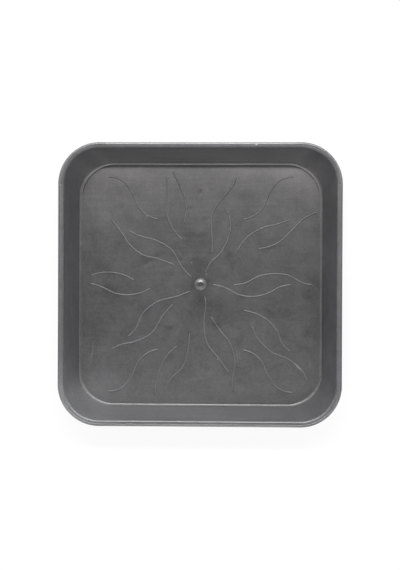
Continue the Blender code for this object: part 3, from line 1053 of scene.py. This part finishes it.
def saucer_plastic(finish):
    """Dark moulded plastic: a satin skin with flow streaks, blotches and scuffs, rib tops lighter partly
    from wear and partly by painted highlight, and painted highlight and shade on the rim and along the
    wall's foot.
    """
    material = bpy.data.materials.new(SKIN)
    shader = Shader(material)
    place = shader.node("TexCoord", output="Object")
    zones = Zones(shader, place)
    clouds = shader.noise(place, scale=22.0, detail=3.0)
    blotches = shader.noise(place, scale=80.0, detail=6.0, roughness=0.75)
    speckle = shader.noise(place, scale=480.0, detail=3.0, roughness=0.8)
    grain = shader.noise(place, scale=1500.0, detail=3.0, roughness=0.6)
    uneven = 1.0 + Tone.front_mottle - shader.rise(zones.y, *Border.even_floor) * Tone.front_mottle
    mottled = (blotches * Tone.blotches + speckle * Tone.speckle) * uneven
    bloom = gate_bloom(shader, zones, blotches)
    # Marks and rings, with some patches of painted highlight and shade on rim and walls
    marks = (floor_marks_and_shading(shader, place, fray=0.6) - bloom) * zones.inside * finish.marks_and_shade_level

    tone = 1.0 + clouds * Tone.clouds + mottled + marks + streaks_and_rubs(shader, place, zones)
    # Rib tops lighter, partly from wear and partly by painted highlight, less so towards the back
    tone = tone + zones.rib * (Tone.rib - shader.rise(zones.y, *Border.rib_lift_fade) * Tone.rib_lift_lost_at_back)
    # Painted shade on the ribs' front flanks, painted lines along the wall's foot, and painted highlight
    # and shade on the rim
    tone = tone - zones.shaded_flank + painted_wall_foot_lines(shader, zones) + rim_tone(zones)
    # The boss lighter, and painted shade in a ring round its pit
    tone = tone + zones.boss * Tone.boss - zones.pit * Tone.pit
    dusty = zones.floor * (1.0 - zones.rib) * (shader.rise(zones.y, *Border.dust) * 0.5 + 0.5)
    clean, warm = (tuple(plastic) + (1.0,) for plastic in (finish.clean_plastic, finish.plastic))
    colour = shader.scaled(shader.mixed(dusty, clean, warm), tone)

    dull = finish.roughness + (clouds + blotches) * Dull.clouds + zones.rib * Dull.rib
    dull = dull + zones.dull_shaded_lip * Dull.lip + zones.boss_edge * Dull.boss_edge
    dull = dull - zones.bead * Dull.bead + zones.outer_edge * Dull.outer_edge + marks * Dull.marks
    skin = shader.node("Bump", {}, {"Strength": 0.08, "Distance": 0.00004, "Height": grain})
    surface = shader.node("BsdfPrincipled", {}, {
        "Base Color": colour,
        "Roughness": shader.limited(shader.maths("MAXIMUM", dull, Dull.least)),
        "Specular IOR Level": finish.sheen_level,
        "Normal": skin,
    })
    shader.finish("Material", surface)
    return material


def shared_plastic(context):
    """The one plastic that every piece is moulded in."""
    found = bpy.data.materials.get(SKIN)
    return found or saucer_plastic(context.scene.saucer_finish)


def add_piece(context, node, surface):
    """Mesh a surface's rings and put the piece in the place of its CAD node."""
    obj = closed_surface("moulded_" + node, *surface, shared_plastic(context))
    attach(obj, BODY)
    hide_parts(node)


class SAUCER_OT_tray(bpy.types.Operator):
    """Build the tray's skin and put it in the place of its solid"""

    bl_idname = "saucer.tray"
    bl_label = "Tray"

    def execute(self, context):
        add_piece(context, "tray", tray_surface(context.scene.saucer_tray))
        return {"FINISHED"}


class SAUCER_OT_boss(bpy.types.Operator):
    """Build the gate boss at the middle of the floor"""

    bl_idname = "saucer.boss"
    bl_label = "Gate boss"

    def execute(self, context):
        add_piece(context, "gate_boss", boss_surface(context.scene.saucer_boss))
        return {"FINISHED"}


class SAUCER_OT_ribs(bpy.types.Operator):
    """Build the corner rib, its three mirror images and every other floor rib"""

    bl_idname = "saucer.ribs"
    bl_label = "Floor ribs"

    def execute(self, context):
        routes = dict(RIB_ROUTES)
        for depth, sign_y in (("back", 1), ("front", -1)):
            for side, sign_x in (("left", 1), ("right", -1)):
                routes[f"rib_corner_{depth}_{side}"] = [(sign_x * x, sign_y * y) for x, y in CORNER_RIB]
        sizes = context.scene.saucer_ribs
        form = TrayForm(context.scene.saucer_tray)
        for node, route in routes.items():
            add_piece(context, node, rib_surface(route, sizes, form))
        return {"FINISHED"}


WHITE = (1.0, 1.0, 1.0, 1.0)
FLOOR_PAINT = (0.82, 0.82, 0.82, 1.0)
FLOOR_HALF = 4.0
BACKDROP_LEVEL = 0.9

# Glow round the horizon: the sine of its height, its strength, and what that gains towards the back
# and the right
ROOM_HEIGHT = 0.17
ROOM_GLOW = 2.55
ROOM_BACK_GLOW = 2.17
ROOM_RIGHT_GLOW = 0.38

# Lamps of the studio: name, place, size along X and across, and power in watts. One that isn't over the
# middle line stands on both sides of it.
LAMPS = [
    ("key_lamp", (0.0, 0.670, 1.069), (0.60, 0.05), 7.3),
    ("key", (0.40, 0.670, 1.069), (0.30, 0.05), 2.44),
    ("key_mid", (0.72, 0.670, 1.069), (0.34, 0.05), 1.0),
    ("key_far", (1.15, 0.670, 1.069), (0.50, 0.05), 1.66),
    ("back_high", (0.0, 0.549, 1.178), (0.45, 0.45), 0.71),
    ("back_low", (0.0, 0.966, 0.870), (0.45, 0.45), 2.70),
    ("front_high", (0.0, -0.549, 1.178), (0.45, 0.45), 1.65),
    ("front_low", (0.0, -0.966, 0.870), (0.45, 0.45), 3.33),
    ("front", (0.683, -0.683, 0.870), (0.45, 0.45), 2.48),
]


class SAUCER_OT_stage(bpy.types.Operator):
    """Set up the pale floor, the soft lamps and the camera over the saucer"""

    bl_idname = "saucer.stage"
    bl_label = "Studio"

    def execute(self, context):
        scene = context.scene
        stage = scene.saucer_stage
        add_floor()
        for name, (x, y, z), size, power in LAMPS:
            sides = {"_left": -x, "_right": x} if x else {"": 0.0}
            for side, along in sides.items():
                add_lamp(name + side, (along, y, z), size, power * stage.lamp_level)
        set_room(scene, stage.room_level)
        lens = bpy.data.cameras.new("saucer_camera")
        lens.lens = stage.camera_lens
        camera = placed("saucer_camera", lens)
        camera.location = stage.camera_place
        camera.rotation_euler = stage.camera_turn
        scene.camera = camera
        scene.view_settings.view_transform = "Standard"
        return {"FINISHED"}


def add_floor():
    """A wide white floor, which looks the same to the camera and in reflections."""
    material = bpy.data.materials.new("studio_floor")
    shader = Shader(material)
    rays = [shader.node("LightPath", output=kind) for kind in
            ("Is Camera Ray", "Is Glossy Ray", "Is Transmission Ray")]
    seen = shader.limited(rays[0] + rays[1] + rays[2])
    paint = shader.node("BsdfDiffuse", {}, {"Color": FLOOR_PAINT})
    glow = shader.node("Emission", {}, {"Color": WHITE, "Strength": 1.0})
    white = shader.node("MixShader", {}, {0: seen * BACKDROP_LEVEL, 1: paint, 2: glow})
    shader.finish("Material", white)
    half = FLOOR_HALF
    mesh = bpy.data.meshes.new("studio_floor")
    corners = [(-half, -half, 0.0), (half, -half, 0.0), (half, half, 0.0), (-half, half, 0.0)]
    mesh.from_pydata(corners, [], [(0, 1, 2, 3)])
    mesh.materials.append(material)
    floor = placed("studio_floor", mesh)


def add_lamp(name, place, size, power):
    """A rectangular lamp that faces the middle of the saucer, its long side level."""
    data = bpy.data.lights.new(name, "AREA")
    data.shape = "RECTANGLE"
    data.size, data.size_y = size
    data.energy = power
    lamp = placed(name, data)
    lamp.location = place
    lamp.rotation_euler = Vector(place).to_track_quat("Z", "Y").to_euler()


def set_room(scene, level):
    """A glow low round the horizon, strongest behind the saucer, and stronger on its right than left.

    Its strength falls off as a bell curve above and below its height. Straight from the camera it is
    plain white.
    """
    world = bpy.data.worlds.new("studio_room")
    shader = Shader(world)
    x, y, z = shader.parts(shader.node("TexCoord", output="Generated"))
    off = (z - ROOM_HEIGHT) / ROOM_HEIGHT
    bell = shader.maths("POWER", math.e, 0.0 - off * off)
    glow = bell * (ROOM_GLOW + y * ROOM_BACK_GLOW + x * ROOM_RIGHT_GLOW) * level
    seen = shader.node("LightPath", output="Is Camera Ray")
    glow = glow * (1.0 - seen) + seen * BACKDROP_LEVEL
    shader.finish("World", shader.node("Background", {}, {"Color": WHITE, "Strength": glow}))
    scene.world = world


class SAUCER_PT_panel(bpy.types.Panel):
    """Buttons that build the saucer, in order"""

    bl_idname = "SAUCER_PT_panel"
    bl_label = "Plant saucer"
    bl_space_type = "VIEW_3D"
    bl_region_type = "UI"
    bl_category = "Saucer"

    def draw(self, context):
        for operator in OPERATORS:
            self.layout.operator(operator.bl_idname)


GROUPS = {
    "saucer_tray": SaucerTraySizes,
    "saucer_boss": SaucerBossSizes,
    "saucer_ribs": SaucerRibSizes,
    "saucer_finish": SaucerFinish,
    "saucer_stage": SaucerStage,
}
OPERATORS = (SAUCER_OT_tray, SAUCER_OT_boss, SAUCER_OT_ribs, SAUCER_OT_stage)


def register():
    for name, group in GROUPS.items():
        bpy.utils.register_class(group)
        setattr(bpy.types.Scene, name, PointerProperty(type=group))
    for operator in OPERATORS:
        bpy.utils.register_class(operator)
    bpy.utils.register_class(SAUCER_PT_panel)


def unregister():
    bpy.utils.unregister_class(SAUCER_PT_panel)
    for operator in reversed(OPERATORS):
        bpy.utils.unregister_class(operator)
    for name, group in reversed(GROUPS.items()):
        delattr(bpy.types.Scene, name)
        bpy.utils.unregister_class(group)


def main():
    register()
    bpy.ops.saucer.tray()
    bpy.ops.saucer.boss()
    bpy.ops.saucer.ribs()
    bpy.ops.saucer.stage()


if __name__ == "__main__":
    main()
